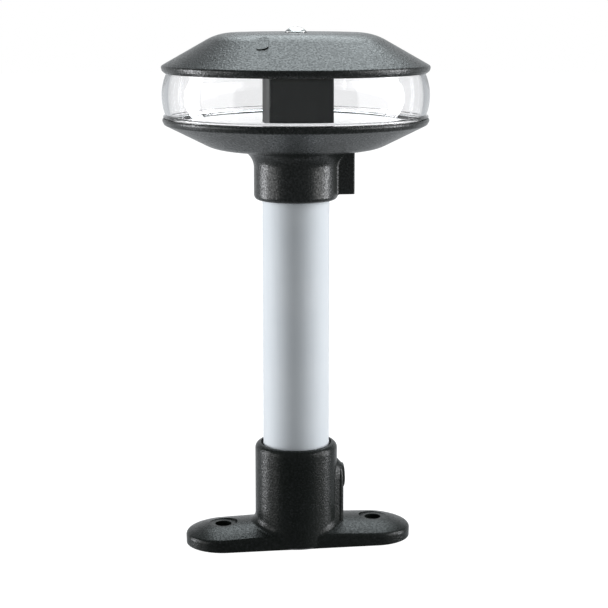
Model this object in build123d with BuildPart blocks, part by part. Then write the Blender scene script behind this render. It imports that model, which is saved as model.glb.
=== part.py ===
from build123d import *
import math
import os

# Fixed-mount navigation light: an oblong two-hole deck base, an aluminium mast tube,
# and a mushroom head with a clear drum lens. Millimetres, +Z up, origin on the tube's axis
# at the base's underside, +X along the base towards the clamp-screw side.

os.makedirs("parts", exist_ok=True)

# ---------------------------------------------------------------- driving dimensions
# base
HOLE_SPACING = 59.0
PLATE_X = 0.9             # middle of the plate, off the tube's axis by this much
HOLE_R = 3.2
PLATE_R = 14.6            # end radius of the plate
HOLE_TOP = 7.6            # height of the domed plate over each hole's centre
DOME_R = 34.9             # radius of the dome across the plate and round its ends
WING_SLOPE_DEG = 2.0      # the plate's ridge falls outwards by this much
PLATE_EDGE_R = 1.6
SPOTFACE_R = 5.5
SPOTFACE_Z = 6.9
BOSS_R = 15.9
BOSS_TOP = 38.8
BOSS_EDGE_R = 2.3
SOCKET_R = 12.9
SOCKET_FLOOR = 8.0
WIRE_R = 5.0
LUG_HALF_W = 5.8
LUG_X = 18.0
PAD_R = 4.8
PAD_X = 18.6
BASE_SCREW_Z = 24.6
GASKET_T = 1.0
GASKET_INSET = 2.5
# mast tube
TUBE_R = 12.7
TUBE_WALL = 1.6
TUBE_BOTTOM = 9.0
TUBE_TOP = 146.0
# head: lower housing
COLLAR_BOTTOM = 133.6
COLLAR_R = 15.9
COLLAR_BORE = 12.9
FLARE_R = 7.2
UNDERSIDE_Z = 152.9
CONE_SLOPE = 0.50
HEAD_R = 50.2             # widest radius of cap and lens
LIP_R = 50.1
LIP_TOP = 164.6
FLOOR_Z = 154.4
FIN_HALF_W = 5.0
FIN_X = 21.8
FIN_BOTTOM = 135.6
HEAD_SCREW_Z = 141.5
# lens
LENS_IN_R = 46.5
LENS_EDGE_R = 48.5
LENS_BOTTOM = 163.2
LENS_TOP = 182.0
WINDOW_BOTTOM = 164.8
WINDOW_TOP = 181.1
# cap
CAP_RIM_BOTTOM = 181.3
CAP_TOP = 196.2
CAP_FLAT_R = 23.2
CAP_SHOULDER_R = 20.9
CAP_SLOPE_DEG = 29.5
CAP_EDGE_R = 50.5          # where the cone's line and the rim's line would cross
# lamp carrier and lamp
BLOCK_HALF_X = 11.9
BLOCK_Y0 = -16.0
BLOCK_Y1 = 7.0
BLOCK_TOP = 184.0
LAMP_Y = 17.0
LAMP_SEAT_Z = 159.8
LAMP_R = 5.0
# fasteners
CAP_SCREW_R = 2.0
CAP_SCREW_HEAD_R = 4.2
CAP_SCREW_HEAD_H = 2.1
CAP_SCREW_LEN = 25.0
SET_SCREW_R = 2.5
THREAD_GAP = 0.05


def rounded(points):
    """Closed outline in the current BuildLine: (x, y) corners, or (x, y, radius) for a rounded one."""
    count = len(points)
    ends = []
    for i in range(count):
        p = Vector(points[i][0], points[i][1])
        radius = points[i][2] if len(points[i]) > 2 else 0.0
        if radius <= 0:
            ends.append((p, None, p))
            continue
        a = Vector(*points[i - 1][:2])
        b = Vector(*points[(i + 1) % count][:2])
        u, v = (a - p).normalized(), (b - p).normalized()
        half = math.radians(u.get_angle(v)) / 2
        t = radius / math.tan(half)
        bis = (u + v).normalized()
        centre = p + bis * (radius / math.sin(half))
        ends.append((p + u * t, centre - bis * radius, p + v * t))
    for i in range(count):
        start, mid, end = ends[i]
        if mid is not None:
            ThreePointArc(start, mid, end)
        nxt = ends[(i + 1) % count][0]
        if (nxt - end).length > 1e-6:
            Line(end, nxt)


def try_fillet(part, pick, radius, what):
    """Rounds the picked edges of a finished part, or leaves it as it is."""
    for r in (radius, radius * 0.7, radius * 0.5):
        try:
            edges = pick(part)
            if not edges:
                print("no edges for", what)
                return part
            made = part.fillet(r, edges)
            if made.is_valid and made.volume > 0:
                print("fillet", what, round(r, 2), len(edges), "edges")
                return made
        except Exception as error:
            print("fillet", what, r, "gave", type(error).__name__)
    return part


def save(part, name):
    part.label = name
    export_step(part, f"parts/{name}.step")


# ================================================================ base
# boss with its bore, as one revolved ring, set on a crowned oblong plate
def wing(side):
    """Half of the domed plate: its ridge falls outwards, its edge is rounded, and it ends in a half round."""
    t = math.radians(WING_SLOPE_DEG)
    along = Vector(side * math.cos(t), 0, -math.sin(t))
    up = Vector(side * math.sin(t), 0, math.cos(t))
    hole = Vector(PLATE_X + side * HOLE_SPACING / 2, 0, HOLE_TOP)
    low = HOLE_TOP + 6
    r = PLATE_EDGE_R
    # the edge's arc touches the dome's arc and the side wall
    ex = PLATE_R - r
    ey = math.sqrt((DOME_R - r) ** 2 - ex**2) - DOME_R
    k = DOME_R / (DOME_R - r)
    tx, ty = ex * k, (ey + DOME_R) * k - DOME_R
    turn = math.atan2(ey + DOME_R, ex) / 2
    mx, my = ex + r * math.cos(turn), ey + r * math.sin(turn)
    reach = (HOLE_SPACING / 2 + (PLATE_X if side > 0 else -PLATE_X)) / math.cos(t) + 3
    section = Plane(origin=hole, x_dir=along.cross(up), z_dir=-along)
    with BuildPart() as made:
        with BuildSketch(section):
            with BuildLine():
                ThreePointArc((-tx, ty), (0, 0), (tx, ty))
                ThreePointArc((tx, ty), (mx, my), (PLATE_R, ey))
                Polyline((PLATE_R, ey), (PLATE_R, -low), (-PLATE_R, -low), (-PLATE_R, ey))
                ThreePointArc((-PLATE_R, ey), (-mx, my), (-tx, ty))
            make_face()
        extrude(amount=reach)
        with BuildSketch(section):
            with BuildLine():
                hx = tx / 2
                hy = math.sqrt(DOME_R**2 - hx**2) - DOME_R
                ThreePointArc((0, 0), (hx, hy), (tx, ty))
                ThreePointArc((tx, ty), (mx, my), (PLATE_R, ey))
                Polyline((PLATE_R, ey), (PLATE_R, -low), (0, -low), (0, 0))
            make_face()
        revolve(axis=Axis((hole.X, hole.Y, hole.Z), (up.X, up.Y, up.Z)), revolution_arc=360)
        with Locations((0, 0, -20)):
            Box(200, 100, 40, mode=Mode.SUBTRACT)
    return made.part


with BuildPart() as plate:
    add(wing(-1))
    add(wing(1))

with BuildPart() as boss:
    with BuildSketch(Plane.XZ):
        with BuildLine():
            rounded([(0, 0), (BOSS_R, 0), (BOSS_R, BOSS_TOP, BOSS_EDGE_R), (0, BOSS_TOP)])
        make_face()
    revolve(axis=Axis.Z)

with BuildPart() as lug:
    with BuildSketch(Plane.YZ.offset(10.0)):
        with Locations((0, BASE_SCREW_Z)):
            Circle(LUG_HALF_W)
        with Locations((0, BASE_SCREW_Z / 2)):
            Rectangle(2 * LUG_HALF_W, BASE_SCREW_Z)
    extrude(amount=LUG_X - 10.0)
    fillet(lug.faces().sort_by(Axis.X)[-1].edges().filter_by_position(Axis.Z, 3.0, 40.0), 1.6)

with BuildPart() as boss_and_lug:
    add(boss.part)
    add(lug.part)

# the corner where the lug meets the boss is filled with a small slope, all the way round its arch
lug_edges = boss_and_lug.part.edges().filter_by(
    lambda e: 14.0 < e.bounding_box().min.X and e.bounding_box().max.X < 16.2
    and e.length > 4.0 and e.bounding_box().max.Z < 32.0 and abs(e.center().Y) > 0.5
)
boss_solid = boss_and_lug.part.chamfer(1.4, None, lug_edges)

with BuildPart() as plate_and_boss:
    add(plate.part)
    add(boss.part)

# the fillet between boss and plate, round the boss and down the plate's sides
core_solid = try_fillet(
    plate_and_boss.part,
    lambda p: p.edges().filter_by(
        lambda e: e.bounding_box().max.Z < 9.6 and e.length > 0.3
        and all(abs(math.hypot(v.X, v.Y) - BOSS_R) < 0.02 for v in e.vertices())
        and e.bounding_box().size.Z + e.bounding_box().size.X > 0.1
        and e.bounding_box().max.Z > 0.05
    ),
    2.8,
    "boss to plate",
)

with BuildPart() as base:
    add(core_solid)
    add(boss_solid)
base_solid = base.part

# the boss stands a little proud of the plate's long sides; its bottom edge there is eased
with BuildPart() as ease:
    with BuildSketch(Plane.XZ):
        with BuildLine():
            Polyline((BOSS_R - 1.0, -0.2), (BOSS_R + 0.5, -0.2), (BOSS_R + 0.5, 1.3), close=True)
        make_face()
    revolve(axis=Axis.Z)
    Box(60, 2 * PLATE_R + 0.1, 10, mode=Mode.SUBTRACT)

with BuildPart() as base:
    add(base_solid)
    add(ease.part, mode=Mode.SUBTRACT)
    # round pad at the clamp screw
    with BuildSketch(Plane.YZ.offset(LUG_X - 0.6)):
        with Locations((0, BASE_SCREW_Z)):
            Circle(PAD_R)
    extrude(amount=PAD_X - LUG_X + 0.6)
    # socket for the tube, with a lead-in, and the wire hole below it
    with BuildSketch(Plane.XZ):
        with BuildLine():
            rounded([(0, SOCKET_FLOOR), (SOCKET_R, SOCKET_FLOOR), (SOCKET_R, BOSS_TOP - 2.2, 1.5), (SOCKET_R + 0.75, BOSS_TOP - 1.2, 0.4), (SOCKET_R + 0.75, BOSS_TOP + 1), (0, BOSS_TOP + 1)])
        make_face()
    revolve(axis=Axis.Z, mode=Mode.SUBTRACT)
    with Locations((0, 0, 4)):
        Cylinder(WIRE_R, 12, mode=Mode.SUBTRACT)
    # clamp screw hole
    with Locations(Location((15.5, 0, BASE_SCREW_Z), (0, 90, 0))):
        Cylinder(SET_SCREW_R + THREAD_GAP, 9, mode=Mode.SUBTRACT)
    # deck screw holes with shallow spotfaces
    with Locations((PLATE_X - HOLE_SPACING / 2, 0, SPOTFACE_Z + 5), (PLATE_X + HOLE_SPACING / 2, 0, SPOTFACE_Z + 5)):
        Cylinder(SPOTFACE_R, 10, mode=Mode.SUBTRACT)
    with Locations((PLATE_X - HOLE_SPACING / 2, 0, 3), (PLATE_X + HOLE_SPACING / 2, 0, 3)):
        Cylinder(HOLE_R, 12, mode=Mode.SUBTRACT)
    # recess for the gasket
    with BuildSketch():
        with Locations((PLATE_X, 0)):
            SlotCenterToCenter(HOLE_SPACING, 2 * (PLATE_R - GASKET_INSET))
    extrude(amount=GASKET_T, mode=Mode.SUBTRACT)
pad_edges = base.part.edges().filter_by(GeomType.CIRCLE).filter_by(
    lambda e: abs(e.center().X - PAD_X) < 0.05 and abs(e.radius - PAD_R) < 0.05
)
base_solid = base.part
try:
    base_solid = base.part.fillet(0.45, pad_edges)
except Exception as error:
    print("pad edge", type(error).__name__)
save(base_solid, "base")

with BuildPart() as base_gasket:
    with BuildSketch():
        with Locations((PLATE_X, 0)):
            SlotCenterToCenter(HOLE_SPACING, 2 * (PLATE_R - GASKET_INSET) - 0.1)
        with Locations((PLATE_X - HOLE_SPACING / 2, 0), (PLATE_X + HOLE_SPACING / 2, 0)):
            Circle(HOLE_R + 0.5, mode=Mode.SUBTRACT)
        Circle(WIRE_R + 0.6, mode=Mode.SUBTRACT)
    extrude(amount=GASKET_T)
save(base_gasket.part, "base_gasket")

# ================================================================ mast tube and its ends
with BuildPart() as mast_tube:
    with BuildSketch(Plane.XZ):
        with BuildLine():
            rounded([
                (TUBE_R - TUBE_WALL, TUBE_BOTTOM, 0.3), (TUBE_R, TUBE_BOTTOM, 0.4),
                (TUBE_R, TUBE_TOP, 0.4), (TUBE_R - TUBE_WALL, TUBE_TOP, 0.3),
            ])
        make_face()
    revolve(axis=Axis.Z)
save(mast_tube.part, "mast_tube")

with BuildPart() as tube_grommet:
    with BuildSketch(Plane.XZ):
        with BuildLine():
            rounded([
                (9.4, SOCKET_FLOOR, 0.4), (TUBE_R + 0.1, SOCKET_FLOOR, 0.2), (TUBE_R + 0.1, TUBE_BOTTOM - 0.02, 0.2),
                (TUBE_R - TUBE_WALL - 0.05, TUBE_BOTTOM - 0.02), (TUBE_R - TUBE_WALL - 0.05, 12.0, 0.5), (9.4, 12.0, 0.5),
            ])
        make_face()
    revolve(axis=Axis.Z)
save(tube_grommet.part, "tube_grommet")


def set_screw(x0, x1, z):
    """Socket set screw along X from tip x0 to driven end x1."""
    with BuildPart() as made:
        with BuildSketch(Plane.XZ):
            with BuildLine():
                pts = [(0, 0)]
                pts += [(SET_SCREW_R - 0.9, 0.0)]
                length = x1 - x0
                turns = int((length - 1.2) / 0.8)
                s = 0.6
                pts += [(SET_SCREW_R - 0.35, s)]
                for k in range(turns):
                    pts += [(SET_SCREW_R, s + 0.2), (SET_SCREW_R, s + 0.3), (SET_SCREW_R - 0.35, s + 0.72)]
                    s += 0.8
                pts += [(SET_SCREW_R - 0.3, length), (0, length)]
                Polyline(*pts, close=True)
            make_face()
        revolve(axis=Axis.Z)
        with BuildSketch(Plane.XY.offset(length)):
            RegularPolygon(1.25 / math.cos(math.pi / 6), 6)
        extrude(amount=-2.4, mode=Mode.SUBTRACT)
    return made.part.moved(Location((x0, 0, z), (0, 90, 0)))


save(set_screw(TUBE_R + 0.03, PAD_X - 0.2, BASE_SCREW_Z), "base_set_screw")
save(set_screw(TUBE_R + 0.03, FIN_X - 1.0, HEAD_SCREW_Z), "housing_set_screw")

# ================================================================ lower housing
cone_r0 = 34.0
under_arc = 15.6                                       # shoulder radius under the dish
lip_cone_z = 162.0
cone_end_z = lip_cone_z - (49.0 - cone_r0) * CONE_SLOPE
slope_cross_r = cone_r0 - (cone_end_z - UNDERSIDE_Z) / CONE_SLOPE
with BuildPart() as lower_housing:
    with BuildSketch(Plane.XZ):
        with BuildLine():
            rounded([
                (COLLAR_BORE, COLLAR_BOTTOM, 0.4),
                (COLLAR_R, COLLAR_BOTTOM, 1.9),
                (COLLAR_R, UNDERSIDE_Z, FLARE_R),
                (slope_cross_r, UNDERSIDE_Z, under_arc),
                (49.0 + 0.45, lip_cone_z + 0.25, 1.2),
                (LIP_R, LIP_TOP - 0.9, 0.7),
                (LIP_R - 0.25, LIP_TOP, 0.5),
                (48.8, LIP_TOP, 0.1),
                (48.8, 162.3), (46.2, 162.3), (46.2, 163.7, 0.15), (43.5, 163.7, 0.15), (43.5, 161.9, 0.8),
                (30.0, FLOOR_Z, 4.0), (9.0, FLOOR_Z), (9.0, TUBE_TOP), (COLLAR_BORE, TUBE_TOP),
                (COLLAR_BORE, 137.5), (14.0, 137.5), (14.0, 135.8), (COLLAR_BORE, 135.8),
            ])
        make_face()
    revolve(axis=Axis.Z)

with BuildPart() as fin:
    with BuildSketch(Plane.XY.offset(FIN_BOTTOM)):
        with Locations(((FIN_X + 14.6) / 2, 0)):
            Rectangle(FIN_X - 14.6, 2 * FIN_HALF_W)
    extrude(amount=153.6 - FIN_BOTTOM)
    fillet(fin.edges().filter_by(Axis.Z).sort_by(Axis.X)[-2:], 0.6)
    fillet(fin.faces().sort_by(Axis.Z)[0].edges().filter_by_position(Axis.X, 14.0, 30.0), 0.5)

with BuildPart() as housing_raw:
    add(lower_housing.part)
    add(fin.part)
housing_solid = try_fillet(
    housing_raw.part,
    lambda p: p.edges().filter_by(
        lambda e: 0.8 < e.length and e.bounding_box().min.X > 14.0 and e.bounding_box().max.X < 24.5
        and abs(abs(e.center().Y) - FIN_HALF_W) < 0.25 and e.bounding_box().max.Z < 153.0
        and e.bounding_box().min.Z > 133.0 and abs(e.bounding_box().size.Y) < 0.6
        and (abs(math.hypot(e.vertices()[0].X, e.vertices()[0].Y) - COLLAR_R) < 8.0)
        and e.bounding_box().size.X < 9.0
        and not (abs(e.bounding_box().min.Z - FIN_BOTTOM) < 0.6 and e.bounding_box().size.Z < 0.6)
        and not (e.bounding_box().min.X > FIN_X - 0.7 and e.bounding_box().size.X < 0.1)
    ),
    1.0,
    "fin to collar",
)
with BuildPart() as housing:
    add(housing_solid)
    with Locations(Location((18.5, 0, HEAD_SCREW_Z), (0, 90, 0))):
        Cylinder(SET_SCREW_R + THREAD_GAP, 13, mode=Mode.SUBTRACT)
    # pads under the carrier's feet
    with BuildSketch(Plane.XY.offset(FLOOR_Z - 0.5)):
        with Locations((-12.5, 21.0), (12.5, 21.0)):
            Circle(3.6)
    extrude(amount=3.5)
    with Locations((-12.5, 21.0, 156.2), (12.5, 21.0, 156.2)):
        Cylinder(1.25, 4.0, mode=Mode.SUBTRACT)
save(housing.part, "lower_housing")

with BuildPart() as collar_o_ring:
    with BuildSketch(Plane.XZ):
        with BuildLine():
            rounded([(TUBE_R + 0.02, 135.85, 0.6), (13.97, 135.85, 0.6), (13.97, 137.45, 0.6), (TUBE_R + 0.02, 137.45, 0.6)])
        make_face()
    revolve(axis=Axis.Z)
save(collar_o_ring.part, "collar_o_ring")

# ================================================================ lens and its seals
with BuildPart() as lower_lens_gasket:
    with BuildSketch(Plane.XZ):
        with BuildLine():
            rounded([(46.3, 162.3, 0.15), (48.65, 162.3, 0.15), (48.65, LENS_BOTTOM - 0.05, 0.3), (46.3, LENS_BOTTOM - 0.05, 0.3)])
        make_face()
    revolve(axis=Axis.Z)
save(lower_lens_gasket.part, "lower_lens_gasket")

mid_z = (WINDOW_BOTTOM + WINDOW_TOP) / 2
with BuildPart() as lens:
    with BuildSketch(Plane.XZ):
        with BuildLine():
            Polyline(
                (LENS_EDGE_R, WINDOW_BOTTOM), (LENS_EDGE_R, LENS_BOTTOM + 0.2), (LENS_EDGE_R - 0.2, LENS_BOTTOM),
                (LENS_IN_R + 0.2, LENS_BOTTOM), (LENS_IN_R, LENS_BOTTOM + 0.2), (LENS_IN_R, LENS_TOP - 0.2),
                (LENS_IN_R + 0.2, LENS_TOP), (LENS_EDGE_R - 0.2, LENS_TOP), (LENS_EDGE_R, LENS_TOP - 0.2), (LENS_EDGE_R, WINDOW_TOP),
            )
            ThreePointArc((LENS_EDGE_R, WINDOW_TOP), (HEAD_R, mid_z), (LENS_EDGE_R, WINDOW_BOTTOM))
        make_face()
    revolve(axis=Axis.Z)
save(lens.part, "lens")

with BuildPart() as upper_lens_gasket:
    with BuildSketch(Plane.XZ):
        with BuildLine():
            rounded([(46.3, LENS_TOP + 0.05, 0.3), (48.65, LENS_TOP + 0.05, 0.3), (48.65, 182.9, 0.15), (46.3, 182.9, 0.15)])
        make_face()
    revolve(axis=Axis.Z)
save(upper_lens_gasket.part, "upper_lens_gasket")

# ================================================================ cap
slope = math.tan(math.radians(CAP_SLOPE_DEG))
# the flat top's line and the cone's line cross here
cross_r = CAP_FLAT_R + CAP_SHOULDER_R * math.tan(math.radians(CAP_SLOPE_DEG) / 2)
ceil_z = CAP_TOP - 2.8
in_cross = cross_r - 1.2
in_rim_r = 45.05
in_rim_z = ceil_z - (in_rim_r - in_cross) * slope
with BuildPart() as cap:
    with BuildSketch(Plane.XZ):
        with BuildLine():
            rounded([
                (2.35, CAP_TOP - 0.8), (4.6, CAP_TOP - 0.8), (4.6, CAP_TOP, 0.25),
                (cross_r, CAP_TOP, CAP_SHOULDER_R),
                (CAP_EDGE_R, CAP_TOP - (CAP_EDGE_R - cross_r) * slope, 1.0),
                (50.0, 182.2, 0.5),
                (49.0, CAP_RIM_BOTTOM, 0.12),
                (48.8, CAP_RIM_BOTTOM, 0.1), (48.8, 182.9), (46.2, 182.9), (46.2, 181.6, 0.15), (in_rim_r, 181.6, 0.15),
                (in_rim_r, in_rim_z, 1.2), (in_cross, ceil_z, 12.0), (5.0, ceil_z, 1.0), (5.0, 186.0, 0.5), (2.35, 186.0, 0.2),
            ])
        make_face()
    revolve(axis=Axis.Z)

# a plain rounded pad standing 0.35 mm proud of the cone
phi = math.radians(-117.8)
pad_mid_r = 34.6
pad_z = CAP_TOP - (pad_mid_r - cross_r) * slope
normal = Vector(math.cos(phi) * math.sin(math.radians(CAP_SLOPE_DEG)), math.sin(phi) * math.sin(math.radians(CAP_SLOPE_DEG)), math.cos(math.radians(CAP_SLOPE_DEG)))
# its long side stands upright as seen from the front, where the deck plate's long side points left and right
front_right = Vector(math.cos(math.radians(8)), -math.sin(math.radians(8)), 0)
long_side = normal.cross(front_right).normalized()
pad_plane = Plane(origin=(pad_mid_r * math.cos(phi), pad_mid_r * math.sin(phi), pad_z), x_dir=long_side.cross(normal), z_dir=normal)
with BuildPart() as cap_full:
    add(cap.part)
    with BuildSketch(pad_plane.offset(-0.8)):
        RectangleRounded(4.4, 8.4, 1.7)
    extrude(amount=1.15)
save(cap_full.part, "cap")

with BuildPart() as cap_screw:
    with BuildSketch(Plane.XZ):
        with BuildLine():
            tip = CAP_TOP - CAP_SCREW_LEN
            pts = [(0, tip), (1.2, tip)]
            z = tip + 0.5
            pts += [(CAP_SCREW_R - 0.35, z)]
            while z < 185.0:
                pts += [(CAP_SCREW_R, z + 0.2), (CAP_SCREW_R, z + 0.3), (CAP_SCREW_R - 0.35, z + 0.72)]
                z += 0.8
            pts += [(CAP_SCREW_R, z + 0.4), (CAP_SCREW_R, CAP_TOP)]
            top = CAP_TOP + CAP_SCREW_HEAD_H
            rounded(pts + [(CAP_SCREW_HEAD_R, CAP_TOP, 0.15), (CAP_SCREW_HEAD_R - 0.1, top - 0.25, 1.25), (1.4, top), (0, top)])
        make_face()
    revolve(axis=Axis.Z)
    # cross recess
    with BuildSketch(Plane.XY.offset(CAP_TOP + CAP_SCREW_HEAD_H)):
        Rectangle(4.4, 0.9)
        Rectangle(0.9, 4.4)
    extrude(amount=-1.6, mode=Mode.SUBTRACT)
save(cap_screw.part, "cap_screw")

with BuildPart() as cap_screw_washer:
    with BuildSketch(Plane.XZ):
        with BuildLine():
            rounded([(2.35, CAP_TOP - 0.78), (4.4, CAP_TOP - 0.78, 0.2), (4.4, CAP_TOP - 0.03, 0.2), (2.35, CAP_TOP - 0.03)])
        make_face()
    revolve(axis=Axis.Z)
save(cap_screw_washer.part, "cap_screw_washer")

with BuildPart() as threaded_insert:
    with BuildSketch(Plane.XZ):
        with BuildLine():
            rounded([
                (2.06, 174.0), (3.0, 174.0, 0.2), (3.0, 177.4), (2.7, 177.4), (2.7, 178.4), (3.0, 178.4),
                (3.0, 183.2), (3.6, 183.2), (3.6, BLOCK_TOP), (2.06, BLOCK_TOP, 0.2),
            ])
        make_face()
    revolve(axis=Axis.Z)
save(threaded_insert.part, "threaded_insert")

# ================================================================ lamp carrier
with BuildPart() as lamp_carrier:
    with BuildSketch(Plane.XY.offset(FLOOR_Z)):
        with Locations((0, (BLOCK_Y0 + BLOCK_Y1) / 2)):
            RectangleRounded(2 * BLOCK_HALF_X, BLOCK_Y1 - BLOCK_Y0, 0.8)
    extrude(amount=BLOCK_TOP - FLOOR_Z)
    fillet(lamp_carrier.faces().sort_by(Axis.Z)[-1].edges(), 0.7)
    # hollow from below, with a pillar for the insert
    with BuildSketch(Plane.XY.offset(FLOOR_Z)):
        with Locations((0, (BLOCK_Y0 + BLOCK_Y1) / 2)):
            RectangleRounded(2 * BLOCK_HALF_X - 4, BLOCK_Y1 - BLOCK_Y0 - 4, 0.5)
    extrude(amount=BLOCK_TOP - FLOOR_Z - 2.4, mode=Mode.SUBTRACT)
    with BuildSketch(Plane.XY.offset(168.0)):
        Circle(5.0)
    extrude(amount=BLOCK_TOP - 1.0 - 168.0)
    # lamp seat behind the block
    with BuildSketch(Plane.XY.offset(FLOOR_Z)):
        with Locations((0, 15.6)):
            RectangleRounded(17.0, 19.0, 1.2)
    extrude(amount=LAMP_SEAT_Z - FLOOR_Z)
    # feet
    with BuildSketch(Plane.XY.offset(157.4)):
        with Locations((-12.5, 21.0), (12.5, 21.0)):
            Circle(3.4)
        with Locations((-10.0, 21.0), (10.0, 21.0)):
            Rectangle(5.0, 6.8)
    extrude(amount=2.0)
    with Locations((-12.5, 21.0, 158.4), (12.5, 21.0, 158.4)):
        Cylinder(1.65, 6.0, mode=Mode.SUBTRACT)
    # insert bore
    with Locations((0, 0, (BLOCK_TOP + 173.9) / 2 + 1)):
        Cylinder(3.02, BLOCK_TOP - 173.9 + 2, mode=Mode.SUBTRACT)
    with Locations((0, 0, BLOCK_TOP)):
        Cylinder(3.62, 1.6, mode=Mode.SUBTRACT)
    # relief below the insert for the end of the cap screw
    with Locations((0, 0, 171.5)):
        Cylinder(2.4, 9.0, mode=Mode.SUBTRACT)
    # slot for the lamp's wedge and the contact strips
    with BuildSketch(Plane.XY.offset(FLOOR_Z)):
        with Locations((0, LAMP_Y)):
            Rectangle(10.4, 3.8)
    extrude(amount=8, mode=Mode.SUBTRACT)
    # channels for the contact strips towards the middle
    with BuildSketch(Plane.XY.offset(FLOOR_Z)):
        with Locations((-3.4, 11.0), (3.4, 11.0)):
            Rectangle(3.6, 14.0)
    extrude(amount=1.9, mode=Mode.SUBTRACT)
    # clearance for the housing's pads under the seat's corners
    with BuildSketch(Plane.XY.offset(FLOOR_Z)):
        with Locations((-12.5, 21.0), (12.5, 21.0)):
            Circle(4.6)
    extrude(amount=3.0, mode=Mode.SUBTRACT)
save(lamp_carrier.part, "lamp_carrier")

with BuildPart() as carrier_screws:
    for x in (-12.5, 12.5):
        with BuildSketch(Plane.XZ.offset(-21.0)):
            with BuildLine():
                rounded([(x, 155.0), (x + 0.6, 155.0), (x + 1.24, 156.0), (x + 1.24, 159.42), (x + 2.8, 159.42, 0.15), (x + 2.6, 161.0, 0.6), (x, 161.2)])
            make_face()
        revolve(axis=Axis((x, 21.0, 0), (0, 0, 1)))
        with BuildSketch(Plane.XY.offset(161.25)):
            with Locations((x, 21.0)):
                Rectangle(3.0, 0.7)
                Rectangle(0.7, 3.0)
        extrude(amount=-1.0, mode=Mode.SUBTRACT)
save(carrier_screws.part, "carrier_screws")

with BuildPart() as reflector:
    with BuildSketch(Plane.XY.offset(163.7)):
        Circle(46.15)
        with Locations((0, (BLOCK_Y0 + BLOCK_Y1) / 2)):
            Rectangle(2 * BLOCK_HALF_X + 0.8, BLOCK_Y1 - BLOCK_Y0 + 0.8, mode=Mode.SUBTRACT)
        with Locations((0, LAMP_Y)):
            Circle(7.0, mode=Mode.SUBTRACT)
    extrude(amount=0.5)
save(reflector.part, "reflector")


def contact_strip(x, tip_y, name):
    """Brass strip, 3 wide and 0.4 thick: blade below, run under the seat, spring tip beside the lamp's wedge."""
    with BuildPart() as made:
        with BuildSketch(Plane.YZ.offset(x)):
            with BuildLine():
                side = 0.4
                Polyline(
                    (4.0, 148.0), (4.4, 148.0), (4.4, 155.2), (tip_y + side, 155.2), (tip_y + side, 159.2),
                    (tip_y, 159.2), (tip_y, 155.6), (4.0, 155.6), close=True,
                )
            make_face()
        extrude(amount=1.5, both=True)
    save(made.part, name)


contact_strip(3.4, 18.05, "contact_live")
contact_strip(-3.4, 15.55, "contact_return")

# ================================================================ lamp
with BuildPart() as bulb_glass:
    with BuildSketch(Plane.XZ):
        with BuildLine():
            top = LAMP_SEAT_Z + 20.0
            mid = top - LAMP_R
            c = math.cos(math.pi / 4)
            inner = LAMP_R - 0.6
            Polyline((inner, mid), (inner, LAMP_SEAT_Z + 0.25), (LAMP_R, LAMP_SEAT_Z + 0.25), (LAMP_R, mid))
            ThreePointArc((LAMP_R, mid), (LAMP_R * c, mid + LAMP_R * c), (0, top))
            Line((0, top), (0, mid + inner))
            ThreePointArc((0, mid + inner), (inner * c, mid + inner * c), (inner, mid))
        make_face()
    revolve(axis=Axis.Z)
save(bulb_glass.part.moved(Location((0, LAMP_Y, 0))), "bulb_glass")

with BuildPart() as bulb_base:
    with BuildSketch(Plane.XY.offset(155.9)):
        with Locations((0, LAMP_Y)):
            RectangleRounded(9.2, 2.0, 0.5)
    extrude(amount=LAMP_SEAT_Z + 0.25 - 155.9)
    with BuildSketch(Plane.XY.offset(LAMP_SEAT_Z + 0.2)):
        with Locations((0, LAMP_Y)):
            Circle(4.35)
    extrude(amount=1.4)
save(bulb_base.part, "bulb_base")

with BuildPart() as filament_supports:
    with Locations((-2.2, LAMP_Y, 167.1), (2.2, LAMP_Y, 167.1)):
        Cylinder(0.2, 11.36)
save(filament_supports.part, "filament_supports")

with BuildPart() as filament:
    with Locations(Location((0, LAMP_Y, 173.15), (0, 90, 0))):
        Cylinder(0.35, 4.9)
save(filament.part, "filament")
print("done")
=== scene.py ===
import math

import bmesh
import bpy
from mathutils import Matrix, Vector


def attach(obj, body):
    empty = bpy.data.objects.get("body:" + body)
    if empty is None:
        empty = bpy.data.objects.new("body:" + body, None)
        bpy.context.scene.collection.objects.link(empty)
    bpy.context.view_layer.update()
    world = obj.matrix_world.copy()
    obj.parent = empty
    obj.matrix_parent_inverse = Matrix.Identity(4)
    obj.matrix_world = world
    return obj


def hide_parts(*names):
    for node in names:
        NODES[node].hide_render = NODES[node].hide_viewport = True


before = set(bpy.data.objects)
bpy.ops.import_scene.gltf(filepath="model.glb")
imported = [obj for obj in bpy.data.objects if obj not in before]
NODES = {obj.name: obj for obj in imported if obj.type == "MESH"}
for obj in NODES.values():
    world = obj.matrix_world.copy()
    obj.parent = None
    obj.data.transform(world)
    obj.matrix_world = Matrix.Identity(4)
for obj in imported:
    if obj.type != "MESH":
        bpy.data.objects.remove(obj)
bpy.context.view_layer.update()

scene = bpy.context.scene
scene.view_settings.view_transform = "Standard"
scene.view_settings.look = "None"
scene.view_settings.exposure = 0.0
scene.view_settings.gamma = 1.0


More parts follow.
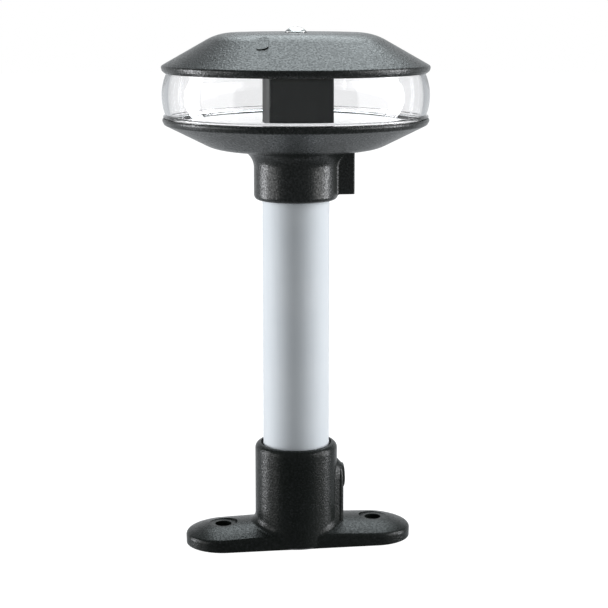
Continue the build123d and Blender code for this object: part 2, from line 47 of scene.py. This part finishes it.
# ------------------------------------------------------------------ node helpers
class Mat:
    """A material being built: nodes are added by type, with their inputs given by name or number."""

    def __init__(self, name):
        self.m = bpy.data.materials.new(name)
        self.m.use_nodes = True
        self.t = self.m.node_tree
        self.t.nodes.clear()
        self.out = self.t.nodes.new("ShaderNodeOutputMaterial")

    def node(self, kind, inputs=None, **props):
        n = self.t.nodes.new(kind)
        for k, v in props.items():
            setattr(n, k, v)
        for k, v in (inputs or {}).items():
            socket = n.inputs[k]
            if isinstance(v, bpy.types.NodeSocket):
                self.t.links.new(v, socket)
            else:
                socket.default_value = v
        return n

    def coords(self, scale=(1, 1, 1)):
        c = self.node("ShaderNodeTexCoord")
        return self.node("ShaderNodeMapping", {"Vector": c.outputs["Object"], "Scale": scale}).outputs["Vector"]

    def noise(self, vector, scale, detail=2.0, rough=0.5, distortion=0.0):
        return self.node("ShaderNodeTexNoise", {"Vector": vector, "Scale": scale, "Detail": detail, "Roughness": rough, "Distortion": distortion}).outputs["Fac"]

    def ramp(self, fac, low, high, out_low=0.0, out_high=1.0):
        return self.node("ShaderNodeMapRange", {"Value": fac, "From Min": low, "From Max": high, "To Min": out_low, "To Max": out_high}, clamp=True).outputs["Result"]

    def mix(self, fac, a, b):
        n = self.node("ShaderNodeMix", data_type="RGBA")
        for sock, v in ((n.inputs[0], fac), (n.inputs[6], a), (n.inputs[7], b)):
            if isinstance(v, bpy.types.NodeSocket):
                self.t.links.new(v, sock)
            else:
                sock.default_value = v
        return n.outputs[2]

    def math(self, op, a, b=0.0, c=0.0):
        n = self.node("ShaderNodeMath", operation=op)
        for i, v in enumerate((a, b, c)):
            if isinstance(v, bpy.types.NodeSocket):
                self.t.links.new(v, n.inputs[i])
            else:
                n.inputs[i].default_value = v
        return n.outputs[0]

    def bump(self, height, strength, distance, normal=None):
        d = {"Height": height, "Strength": strength, "Distance": distance}
        if normal is not None:
            d["Normal"] = normal
        return self.node("ShaderNodeBump", d).outputs["Normal"]

    def principled(self, **inputs):
        names = {k.replace("_", " "): v for k, v in inputs.items()}
        return self.node("ShaderNodeBsdfPrincipled", names)

    def finish(self, shader):
        self.t.links.new(shader.outputs[0] if isinstance(shader, bpy.types.Node) else shader, self.out.inputs["Surface"])
        return self.m


def rgb(r, g, b):
    return (r, g, b, 1.0)


# ------------------------------------------------------------------ materials
def black_plastic(name, shine_low, shine_high, relief):
    m = Mat(name)
    v = m.coords()
    grain = m.noise(v, 1400, 1.5, 0.5)
    fine = m.noise(v, 2300, 1.0, 0.5)
    pits = m.node("ShaderNodeTexVoronoi", {"Vector": v, "Scale": 1250.0, "Randomness": 1.0}, feature="SMOOTH_F1").outputs["Distance"]
    broad = m.noise(v, 45, 3.0, 0.5)
    height = m.math("ADD", m.math("ADD", grain, m.math("MULTIPLY", pits, 0.5)), m.math("MULTIPLY", fine, 0.35))
    colour = m.mix(m.ramp(broad, 0.35, 0.7), rgb(0.0065, 0.0085, 0.0072), rgb(0.010, 0.0125, 0.011))
    colour = m.mix(m.ramp(grain, 0.60, 0.74), colour, rgb(0.020, 0.022, 0.024))
    rough = m.math("ADD", m.ramp(broad, 0.3, 0.7, 0.27, 0.32), m.ramp(grain, 0.35, 0.65, 0.05, -0.04))
    shine = m.ramp(grain, 0.36, 0.64, shine_low, shine_high)
    p = m.principled(Base_Color=colour, Roughness=rough, IOR=1.52, Normal=m.bump(height, relief, 0.00008))
    m.t.links.new(shine, p.inputs["Specular IOR Level"])
    return m.finish(p)


def carrier_plastic():
    m = Mat("black_plastic_smooth")
    v = m.coords()
    grain = m.noise(v, 900, 2.0, 0.5)
    broad = m.noise(v, 60, 3.0, 0.5)
    colour = m.mix(m.ramp(broad, 0.35, 0.7), rgb(0.0035, 0.0045, 0.0035), rgb(0.006, 0.0075, 0.006))
    p = m.principled(Base_Color=colour, Roughness=m.ramp(broad, 0.3, 0.7, 0.42, 0.52), IOR=1.5, Specular_IOR_Level=0.15, Normal=m.bump(grain, 0.15, 0.00004))
    return m.finish(p)


def anodised():
    m = Mat("satin_anodised_aluminium")
    drawn = m.coords((1, 1, 0.012))
    v = m.coords()
    lines = m.noise(drawn, 2600, 2.0, 0.6)
    fine = m.noise(v, 3000, 2.0, 0.5)
    cloud = m.noise(v, 35, 3.0, 0.55)
    colour = m.mix(m.ramp(cloud, 0.35, 0.65), rgb(0.74, 0.775, 0.80), rgb(0.79, 0.82, 0.84))
    rough = m.math("ADD", m.ramp(lines, 0.3, 0.7, 0.80, 0.87), m.ramp(cloud, 0.3, 0.7, -0.02, 0.03))
    n1 = m.bump(lines, 0.12, 0.00002)
    p = m.principled(Base_Color=colour, Metallic=0.60, Roughness=rough, Normal=m.bump(fine, 0.10, 0.00002, n1))
    return m.finish(p)


def stainless():
    m = Mat("stainless_brushed")
    v = m.coords()
    turned = m.coords((0.1, 0.1, 4.0))
    lines = m.noise(turned, 3000, 2.0, 0.6)
    cloud = m.noise(v, 400, 2.0, 0.5)
    colour = m.mix(m.ramp(cloud, 0.35, 0.65), rgb(0.62, 0.62, 0.61), rgb(0.72, 0.72, 0.71))
    p = m.principled(Base_Color=colour, Metallic=1.0, Roughness=m.ramp(lines, 0.3, 0.7, 0.16, 0.28), Normal=m.bump(lines, 0.15, 0.00002))
    return m.finish(p)


def black_steel():
    m = Mat("blackened_steel")
    v = m.coords()
    cloud = m.noise(v, 700, 2.0, 0.5)
    colour = m.mix(m.ramp(cloud, 0.35, 0.65), rgb(0.035, 0.035, 0.038), rgb(0.07, 0.07, 0.072))
    p = m.principled(Base_Color=colour, Metallic=0.8, Roughness=m.ramp(cloud, 0.3, 0.7, 0.32, 0.48), Normal=m.bump(cloud, 0.2, 0.00002))
    return m.finish(p)


def brass():
    m = Mat("brass_plain")
    v = m.coords()
    cloud = m.noise(v, 500, 3.0, 0.5)
    colour = m.mix(m.ramp(cloud, 0.35, 0.65), rgb(0.66, 0.47, 0.18), rgb(0.80, 0.60, 0.27))
    p = m.principled(Base_Color=colour, Metallic=1.0, Roughness=m.ramp(cloud, 0.3, 0.7, 0.25, 0.4), Normal=m.bump(cloud, 0.15, 0.00002))
    return m.finish(p)


def rubber():
    m = Mat("black_rubber")
    v = m.coords()
    cloud = m.noise(v, 1200, 3.0, 0.6)
    colour = m.mix(m.ramp(cloud, 0.35, 0.65), rgb(0.016, 0.016, 0.017), rgb(0.028, 0.028, 0.03))
    p = m.principled(Base_Color=colour, Roughness=m.ramp(cloud, 0.3, 0.7, 0.6, 0.75), Normal=m.bump(cloud, 0.4, 0.00004))
    return m.finish(p)


def reflector_painted_glow():
    m = Mat("reflector_painted_glow")
    v = m.coords()
    cloud = m.noise(v, 60, 3.0, 0.5)
    scratch = m.noise(m.coords((1, 0.03, 1)), 900, 2.0, 0.6)
    colour = m.mix(m.ramp(cloud, 0.35, 0.65), rgb(0.88, 0.885, 0.89), rgb(0.92, 0.925, 0.93))
    # Painted light: the emission makes the white reflector glow, standing in for light that reaches it through
    # the lens, though the part is no lamp.
    p = m.principled(Base_Color=colour, Roughness=m.ramp(cloud, 0.3, 0.7, 0.16, 0.24), IOR=1.5, Normal=m.bump(scratch, 0.08, 0.00002), Emission_Color=rgb(1, 1, 1), Emission_Strength=0.45)
    return m.finish(p)


def see_through(name, tint, ior, rough_low, rough_high, bump_scale, bump_strength):
    m = Mat(name)
    v = m.coords()
    cloud = m.noise(v, bump_scale, 2.0, 0.5)
    rough = m.ramp(m.noise(v, 120, 3.0, 0.6), 0.4, 0.75, rough_low, rough_high)
    p = m.principled(Base_Color=tint, Roughness=rough, IOR=ior, Transmission_Weight=1.0, Specular_IOR_Level=0.05, Normal=m.bump(cloud, bump_strength, 0.00003))
    clear = m.node("ShaderNodeBsdfTransparent", {"Color": tint})
    path = m.node("ShaderNodeLightPath")
    both = m.node("ShaderNodeMixShader", {0: path.outputs["Is Shadow Ray"], 1: p.outputs[0], 2: clear.outputs[0]})
    return m.finish(both)


def pale(name, low, high, rough_low, rough_high, scale):
    m = Mat(name)
    v = m.coords()
    cloud = m.noise(v, scale, 2.0, 0.5)
    p = m.principled(Base_Color=m.mix(m.ramp(cloud, 0.35, 0.65), low, high), Roughness=m.ramp(cloud, 0.3, 0.7, rough_low, rough_high), IOR=1.5, Normal=m.bump(cloud, 0.2, 0.00002))
    return m.finish(p)


def wire(name, low, high, rough_low, rough_high):
    m = Mat(name)
    v = m.coords()
    cloud = m.noise(v, 2500, 2.0, 0.5)
    p = m.principled(Base_Color=m.mix(m.ramp(cloud, 0.35, 0.65), low, high), Metallic=1.0, Roughness=m.ramp(cloud, 0.3, 0.7, rough_low, rough_high), Normal=m.bump(cloud, 0.2, 0.00002))
    return m.finish(p)


MATERIALS = {
    "black_plastic": black_plastic("black_plastic_grained", 0.30, 0.74, 0.8),
    "black_carrier": carrier_plastic(),
    "anodised_aluminium": anodised(),
    "stainless_screw": stainless(),
    "black_steel": black_steel(),
    "brass": brass(),
    "rubber_seal": rubber(),
    "polished_reflector": reflector_painted_glow(),
    "clear_acrylic": see_through("clear_acrylic", rgb(0.972, 0.974, 0.98), 1.49, 0.0, 0.03, 25, 0.05),
    "bulb_glass": see_through("lamp_glass", rgb(0.99, 0.99, 1.0), 1.5, 0.0, 0.02, 90, 0.1),
    "bulb_ceramic": pale("pressed_glass_wedge", rgb(0.75, 0.76, 0.74), rgb(0.85, 0.86, 0.84), 0.25, 0.4, 600),
    "bright_wire": wire("nickel_wire", rgb(0.62, 0.61, 0.58), rgb(0.72, 0.71, 0.68), 0.2, 0.35),
    "tungsten": wire("tungsten_wire", rgb(0.28, 0.28, 0.30), rgb(0.40, 0.40, 0.42), 0.3, 0.5),
}
BASE_PLASTIC = black_plastic("black_plastic_base", 0.16, 0.36, 0.7)
for node_name, node in NODES.items():
    slot_name = node.data.materials[0].name.split(".")[0]
    node.data.materials[0] = BASE_PLASTIC if node_name == "base" else MATERIALS[slot_name]


# ------------------------------------------------------------------ lens, with a finer mesh than the frame's
def revolve(name, outline, steps):
    """Closed outline of (r, z) in metres turned about Z, as a mesh with smooth faces."""
    bm = bmesh.new()
    rings = []
    for i in range(steps):
        a = 2 * math.pi * i / steps
        rings.append([bm.verts.new((r * math.cos(a), r * math.sin(a), z)) for r, z in outline])
    n = len(outline)
    for i in range(steps):
        one, two = rings[i], rings[(i + 1) % steps]
        for k in range(n):
            f = bm.faces.new((one[k], two[k], two[(k + 1) % n], one[(k + 1) % n]))
            f.smooth = True
    bmesh.ops.recalc_face_normals(bm, faces=bm.faces)
    mesh = bpy.data.meshes.new(name)
    bm.to_mesh(mesh)
    bm.free()
    o = bpy.data.objects.new(name, mesh)
    scene.collection.objects.link(o)
    return o


def corner(points, px, pz, radius, a0, a1, count):
    """Adds an arc of a rounded corner, centre (px, pz), from angle a0 to a1 in degrees."""
    for i in range(count + 1):
        a = math.radians(a0 + (a1 - a0) * i / count)
        points.append((px + radius * math.cos(a), pz + radius * math.sin(a)))


MM = 0.001
R_IN, R_EDGE, R_OUT = 46.5, 48.5, 50.2
Z_LOW, Z_HIGH, WIN_LOW, WIN_HIGH = 163.2, 182.0, 164.8, 181.1


def bulge(z, r_end, r_mid, inset=0.0):
    """Radius at height z of an arc that leaves r_end at the window's two edges and reaches r_mid halfway."""
    half = (WIN_HIGH - WIN_LOW) / 2 - inset
    sag = r_mid - r_end
    radius = (half * half + sag * sag) / (2 * sag)
    return r_mid - radius + math.sqrt(radius * radius - (z - (WIN_HIGH + WIN_LOW) / 2) ** 2)


outline = []
# inner wall upwards, top edge, groove part, bulge downwards, lower groove part
corner(outline, R_IN + 0.2, Z_LOW + 0.2, 0.2, 270, 180, 3)
for i in range(0, 41):
    z = WIN_LOW + 0.3 + (WIN_HIGH - WIN_LOW - 0.6) * i / 40
    outline.append((bulge(z, R_IN, R_OUT - 2.3, 0.3), z))
corner(outline, R_IN + 0.2, Z_HIGH - 0.2, 0.2, 180, 90, 3)
corner(outline, R_EDGE - 0.2, Z_HIGH - 0.2, 0.2, 90, 0, 3)
for i in range(0, 41):
    z = WIN_HIGH - (WIN_HIGH - WIN_LOW - 0.86) * i / 40
    outline.append((bulge(z, R_EDGE, R_OUT), z))
# a small bead where the lens stands on the housing's lip
corner(outline, 49.32, 165.2, 0.42, 55, -100, 10)
outline.append((R_EDGE + 0.05, WIN_LOW))
corner(outline, R_EDGE - 0.2, Z_LOW + 0.2, 0.2, 0, -90, 3)
lens = revolve("lens_drum", [(r * MM, z * MM) for r, z in outline], 384)
lens.data.materials.append(MATERIALS["clear_acrylic"])
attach(lens, "lens_ring")
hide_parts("lens")

# ------------------------------------------------------------------ cap screw, with a domed head and a moulded cross recess
CAP_TOP, HEAD_R, HEAD_H, SHANK_R, SCREW_LEN = 196.2, 4.2, 2.1, 2.0, 25.0


def dome_height(r):
    """Height of the screw head's dome over the cap at radius r."""
    chord, sag = HEAD_R - 0.12, HEAD_H - 0.42
    radius = (chord * chord + sag * sag) / (2 * sag)
    return HEAD_H - radius + math.sqrt(radius * radius - r * r)


def recess_depth(x, y):
    arm = max(min(0.42 - abs(x), 1.75 - abs(y)), min(0.42 - abs(y), 1.75 - abs(x)), 0.62 - math.hypot(x, y))
    t = min(max(arm / 0.16, 0.0), 1.0)
    return 1.25 * t * t * (3 - 2 * t)


def cap_screw_mesh():
    bm = bmesh.new()
    steps = 192
    rows = [(0.05 * i, None) for i in range(1, 45)]
    rows += [(2.2 + (HEAD_R - 0.12 - 2.2) * i / 18, None) for i in range(1, 19)]
    rows += [(HEAD_R - 0.035, 0.385), (HEAD_R, 0.30), (HEAD_R, 0.12), (HEAD_R - 0.035, 0.035), (HEAD_R - 0.12, 0.0), (SHANK_R, 0.0)]
    z = -SCREW_LEN + 0.5
    turns = []
    while z < 185.0 - CAP_TOP:
        turns += [(SHANK_R - 0.35, z), (SHANK_R, z + 0.2), (SHANK_R, z + 0.3)]
        z += 0.8
    turns += [(SHANK_R - 0.35, z), (SHANK_R, z + 0.4)]
    rows += list(reversed(turns)) + [(1.2, -SCREW_LEN)]
    top = bm.verts.new((0, 0, (CAP_TOP + dome_height(0) - recess_depth(0, 0)) * MM))
    tip = bm.verts.new((0, 0, (CAP_TOP - SCREW_LEN) * MM))
    rings = []
    for r, h in rows:
        ring = []
        for i in range(steps):
            a = 2 * math.pi * i / steps
            x, y = r * math.cos(a), r * math.sin(a)
            up = h if h is not None else dome_height(r) - recess_depth(x, y)
            ring.append(bm.verts.new((x * MM, y * MM, (CAP_TOP + up) * MM)))
        rings.append(ring)
    for i in range(steps):
        j = (i + 1) % steps
        bm.faces.new((top, rings[0][i], rings[0][j])).smooth = True
        bm.faces.new((tip, rings[-1][j], rings[-1][i])).smooth = True
        for one, two in zip(rings, rings[1:]):
            bm.faces.new((one[i], two[i], two[j], one[j])).smooth = True
    bmesh.ops.recalc_face_normals(bm, faces=bm.faces)
    mesh = bpy.data.meshes.new("cap_screw_fine")
    bm.to_mesh(mesh)
    bm.free()
    o = bpy.data.objects.new("cap_screw_fine", mesh)
    scene.collection.objects.link(o)
    return o


fine_screw = cap_screw_mesh()
fine_screw.data.materials.append(MATERIALS["stainless_screw"])
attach(fine_screw, "cap_fastener")
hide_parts("cap_screw")

# ------------------------------------------------------------------ stage
def backdrop():
    m = Mat("pale_floor")
    v = m.coords()
    cloud = m.noise(v, 14, 3.0, 0.5)
    p = m.principled(Base_Color=m.mix(cloud, rgb(0.115, 0.115, 0.115), rgb(0.125, 0.125, 0.125)), Roughness=0.8)
    p.inputs["Emission Color"].default_value = (1, 1, 1, 1)
    p.inputs["Emission Strength"].default_value = 1.0
    return m.finish(p)


bm = bmesh.new()
bmesh.ops.create_circle(bm, cap_ends=True, segments=96, radius=4.0)
mesh = bpy.data.meshes.new("floor")
bm.to_mesh(mesh)
bm.free()
floor = bpy.data.objects.new("floor", mesh)
floor.location = (0, 0, -0.0002)
scene.collection.objects.link(floor)
floor.data.materials.append(backdrop())
floor.visible_glossy = False
floor.visible_diffuse = False
floor.visible_shadow = False
floor.visible_transmission = False

world = bpy.data.worlds.new("studio")
world.use_nodes = True
scene.world = world
wt = world.node_tree
wt.nodes.clear()
w_out = wt.nodes.new("ShaderNodeOutputWorld")
w_mix = wt.nodes.new("ShaderNodeMixShader")
w_path = wt.nodes.new("ShaderNodeLightPath")
w_max = wt.nodes.new("ShaderNodeMath")
w_max.operation = "MAXIMUM"
w_seen = wt.nodes.new("ShaderNodeBackground")
w_seen.inputs["Color"].default_value = (1, 1, 1, 1)
w_seen.inputs["Strength"].default_value = 1.0
w_fill = wt.nodes.new("ShaderNodeBackground")
w_fill.inputs["Color"].default_value = (0.92, 0.96, 1.0, 1)
w_dir = wt.nodes.new("ShaderNodeTexCoord")
w_dot = wt.nodes.new("ShaderNodeVectorMath")
w_dot.operation = "DOT_PRODUCT"
w_dot.inputs[1].default_value = (0.0, 0.85, -0.53)
w_glow = wt.nodes.new("ShaderNodeMapRange")
w_glow.inputs["From Min"].default_value = 0.1
w_glow.inputs["From Max"].default_value = 0.9
w_glow.inputs["To Min"].default_value = 0.20
w_glow.inputs["To Max"].default_value = 0.60
wt.links.new(w_dir.outputs["Generated"], w_dot.inputs[0])
wt.links.new(w_dot.outputs["Value"], w_glow.inputs["Value"])
wt.links.new(w_glow.outputs["Result"], w_fill.inputs["Strength"])
w_deep = wt.nodes.new("ShaderNodeMath")
w_deep.operation = "GREATER_THAN"
w_deep.inputs[1].default_value = 3.5
wt.links.new(w_path.outputs["Transmission Depth"], w_deep.inputs[0])
wt.links.new(w_path.outputs["Is Camera Ray"], w_max.inputs[0])
wt.links.new(w_deep.outputs[0], w_max.inputs[1])
wt.links.new(w_max.outputs[0], w_mix.inputs[0])
wt.links.new(w_fill.outputs[0], w_mix.inputs[1])
wt.links.new(w_seen.outputs[0], w_mix.inputs[2])
wt.links.new(w_mix.outputs[0], w_out.inputs["Surface"])


def softbox(name, place, target, width, height, power, colour=(1, 1, 1)):
    data = bpy.data.lights.new(name, "AREA")
    data.shape = "RECTANGLE"
    data.size, data.size_y = width, height
    data.energy = power
    data.color = colour
    o = bpy.data.objects.new(name, data)
    o.location = place
    o.rotation_mode = "QUATERNION"
    o.rotation_quaternion = (Vector(target) - Vector(place)).to_track_quat("-Z", "Y")
    o.visible_camera = False
    scene.collection.objects.link(o)
    return o


# radiance of a Lambert area light is power / (pi * area)
def watts(radiance, width, height):
    return radiance * math.pi * width * height


softbox("overhead", (0.11, 0.55, 1.05), (0, 0, 0.18), 0.72, 1.1, watts(3.3, 0.72, 1.1), (0.88, 0.97, 1.0))
softbox("left_strip", (-0.72, 0.20, 0.12), (0, 0, 0.12), 0.22, 0.70, watts(8.6, 0.22, 0.70), (0.96, 0.97, 1.0))
softbox("right_strip", (0.763, -0.06, 0.24), (0, 0, 0.12), 0.22, 0.90, watts(7.5, 0.22, 0.90), (0.96, 0.97, 1.0))
softbox("left_soft", (-0.78, -0.17, 0.12), (0, 0, 0.12), 0.50, 0.70, watts(1.7, 0.50, 0.70))
softbox("right_soft", (0.706, -0.376, 0.25), (0, 0, 0.15), 0.50, 0.90, watts(1.9, 0.50, 0.90))
back = softbox("back_panel", (0.25, 1.6, 0.1), (0, 0, 0.1), 3.4, 1.3, watts(0.25, 3.4, 1.3))
back.visible_transmission = False

# ------------------------------------------------------------------ camera
TURN = math.radians(8.0)
DISTANCE, HEIGHT = 0.590, 0.208
SHIFT = -0.08
PITCH = math.radians(9.245)
LENS = 92.8
cam_data = bpy.data.cameras.new("camera")
cam_data.sensor_width = 36.0
cam_data.lens = LENS
cam_data.shift_y = SHIFT
cam_data.clip_start, cam_data.clip_end = 0.01, 50
cam = bpy.data.objects.new("camera", cam_data)
cam.location = (-DISTANCE * math.sin(TURN), -DISTANCE * math.cos(TURN), HEIGHT)
aim = TURN + math.radians(0.297)
forward = Vector((math.sin(aim) * math.cos(PITCH), math.cos(aim) * math.cos(PITCH), -math.sin(PITCH)))
cam.rotation_mode = "QUATERNION"
cam.rotation_quaternion = forward.to_track_quat("-Z", "Y")
scene.collection.objects.link(cam)
scene.camera = cam
